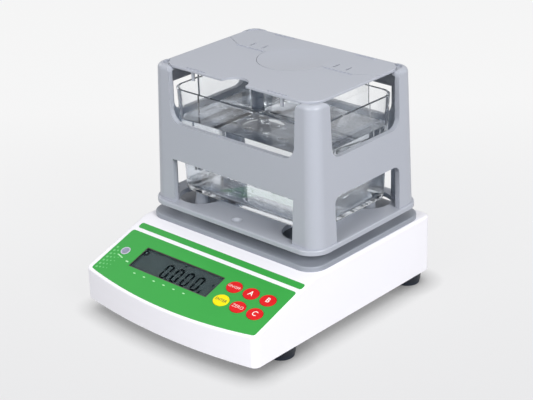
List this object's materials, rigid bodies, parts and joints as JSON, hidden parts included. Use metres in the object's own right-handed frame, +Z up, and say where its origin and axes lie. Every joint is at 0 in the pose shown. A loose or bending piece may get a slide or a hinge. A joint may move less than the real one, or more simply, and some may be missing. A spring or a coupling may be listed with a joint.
{
  "type": "benchtop density meter",
  "caption": "Benchtop density meter: electronic balance with keypad and display, and a water tank inside a grey frame whose top board carries the weighing dish and a hanging basket.",
  "frame": {"origin": "on the table, under the middle of the case", "axes": "+Z up, the keypad faces -Y, +X to the right of someone facing the keypad"},
  "size_m": [0.19, 0.23, 0.1973],
  "materials": {
    "case_white": "satin moulded ABS",
    "frame_grey": "satin moulded ABS",
    "clear_acrylic": "polished clear acrylic",
    "label_green": "printed polyester film",
    "key_red": "moulded, printed",
    "key_yellow": "moulded, printed",
    "display_glass": "polished",
    "window_clear": "polished clear polycarbonate",
    "spirit": "polished",
    "board_green": "solder mask",
    "part_black": "moulded epoxy",
    "socket_metal": "nickel plated",
    "cell_aluminium": "machined",
    "steel_zinc": "zinc plated",
    "foot_rubber": "moulded",
    "foot_black": "moulded nylon",
    "insert_brass": "turned",
    "lead_grey": "sheathed"
  },
  "bodies": {
    "base": {"base_plate": "steel_zinc", "board_screws": "steel_zinc", "case_screws": "steel_zinc", "cell_block": "cell_aluminium", "cell_lead": "lead_grey", "cell_screws": "steel_zinc", "data_port": "socket_metal", "foot_inserts": "insert_brass", "key_switches": "part_black", "lcd_module": "display_glass", "lcd_window": "window_clear", "load_cell": "cell_aluminium", "lower_case": "case_white", "main_board": "board_green", "main_board_parts": "part_black", "overload_stop": "steel_zinc", "panel_board": "board_green", "panel_label": "label_green", "panel_ribbon": "lead_grey", "plate_screws": "steel_zinc", "power_board": "board_green", "power_board_parts": "part_black", "power_jack": "part_black", "stand_screws": "steel_zinc", "tank_stand": "frame_grey", "title_strip": "label_green", "upper_case": "case_white", "vial_cup": "case_white", "vial_lens": "spirit", "water_tank": "clear_acrylic"},
    "frame": {"frame_floor": "frame_grey", "frame_hoop": "frame_grey", "carrier": "cell_aluminium", "carrier_screws": "steel_zinc", "floor_screws": "steel_zinc"},
    "boards": {"rear_board": "frame_grey", "hanger_left": "clear_acrylic", "hanger_right": "clear_acrylic", "basket_tray": "clear_acrylic"},
    "lid": {"front_lid": "frame_grey"},
    "key_on_off": {"key_on_off": "key_red"},
    "key_a": {"key_a": "key_red"},
    "key_b": {"key_b": "key_red"},
    "key_enter": {"key_enter": "key_yellow"},
    "key_zero": {"key_zero": "key_red"},
    "key_c": {"key_c": "key_red"},
    "pad_front_left": {"foot_pad_front_left": "foot_rubber"},
    "wheel_front_left": {"foot_wheel_front_left": "foot_black"},
    "pad_front_right": {"foot_pad_front_right": "foot_rubber"},
    "wheel_front_right": {"foot_wheel_front_right": "foot_black"},
    "pad_rear_left": {"foot_pad_rear_left": "foot_rubber"},
    "wheel_rear_left": {"foot_wheel_rear_left": "foot_black"},
    "pad_rear_right": {"foot_pad_rear_right": "foot_rubber"},
    "wheel_rear_right": {"foot_wheel_rear_right": "foot_black"}
  },
  "joints": [
    {"name": "weigh", "type": "slide", "parent": "base", "child": "frame", "axis": [0, 0, 1], "range_m": [-0.0004, 0], "stiffness_N_per_m": 50000, "springref_m": 0.00012, "deforming": ["load_cell"]},
    {"name": "lift_basket", "type": "slide", "parent": "frame", "child": "boards", "axis": [0, 0, 1], "range_m": [0, 0.105]},
    {"name": "lift_lid", "type": "slide", "parent": "boards", "child": "lid", "axis": [0, 0, 1], "range_m": [0, 0.06]},
    {"name": "press_on_off", "type": "slide", "parent": "base", "child": "key_on_off", "axis": [0, 0.3173, -0.9483], "range_m": [0, 0.0005], "stiffness_N_per_m": 2500, "springref_m": -0.0002},
    {"name": "press_a", "type": "slide", "parent": "base", "child": "key_a", "axis": [0, 0.3173, -0.9483], "range_m": [0, 0.0005], "stiffness_N_per_m": 2500, "springref_m": -0.0002},
    {"name": "press_b", "type": "slide", "parent": "base", "child": "key_b", "axis": [0, 0.3173, -0.9483], "range_m": [0, 0.0005], "stiffness_N_per_m": 2500, "springref_m": -0.0002},
    {"name": "press_enter", "type": "slide", "parent": "base", "child": "key_enter", "axis": [0, 0.3173, -0.9483], "range_m": [0, 0.0005], "stiffness_N_per_m": 2500, "springref_m": -0.0002},
    {"name": "press_zero", "type": "slide", "parent": "base", "child": "key_zero", "axis": [0, 0.3173, -0.9483], "range_m": [0, 0.0005], "stiffness_N_per_m": 2500, "springref_m": -0.0002},
    {"name": "press_c", "type": "slide", "parent": "base", "child": "key_c", "axis": [0, 0.3173, -0.9483], "range_m": [0, 0.0005], "stiffness_N_per_m": 2500, "springref_m": -0.0002},
    {"name": "extend_front_left", "type": "slide", "parent": "base", "child": "pad_front_left", "axis": [0, 0, 1], "range_m": [-0.006, 0]},
    {"name": "turn_front_left", "type": "hinge", "parent": "pad_front_left", "child": "wheel_front_left", "pos_m": [-0.08102, -0.06149, 0], "axis": [0, 0, 1], "range_deg": [-2160, 0]},
    {"name": "extend_front_right", "type": "slide", "parent": "base", "child": "pad_front_right", "axis": [0, 0, 1], "range_m": [-0.006, 0]},
    {"name": "turn_front_right", "type": "hinge", "parent": "pad_front_right", "child": "wheel_front_right", "pos_m": [0.08102, -0.06149, 0], "axis": [0, 0, 1], "range_deg": [-2160, 0]},
    {"name": "extend_rear_left", "type": "slide", "parent": "base", "child": "pad_rear_left", "axis": [0, 0, 1], "range_m": [-0.006, 0]},
    {"name": "turn_rear_left", "type": "hinge", "parent": "pad_rear_left", "child": "wheel_rear_left", "pos_m": [-0.08102, 0.10099, 0], "axis": [0, 0, 1], "range_deg": [-2160, 0]},
    {"name": "extend_rear_right", "type": "slide", "parent": "base", "child": "pad_rear_right", "axis": [0, 0, 1], "range_m": [-0.006, 0]},
    {"name": "turn_rear_right", "type": "hinge", "parent": "pad_rear_right", "child": "wheel_rear_right", "pos_m": [0.08102, 0.10099, 0], "axis": [0, 0, 1], "range_deg": [-2160, 0]}
  ],
  "couplings": [
    {"joint": "turn_front_left", "follows": "extend_front_left", "rad_per_m": 6283.2},
    {"joint": "turn_front_right", "follows": "extend_front_right", "rad_per_m": 6283.2},
    {"joint": "turn_rear_left", "follows": "extend_rear_left", "rad_per_m": 6283.2},
    {"joint": "turn_rear_right", "follows": "extend_rear_right", "rad_per_m": 6283.2}
  ]
}
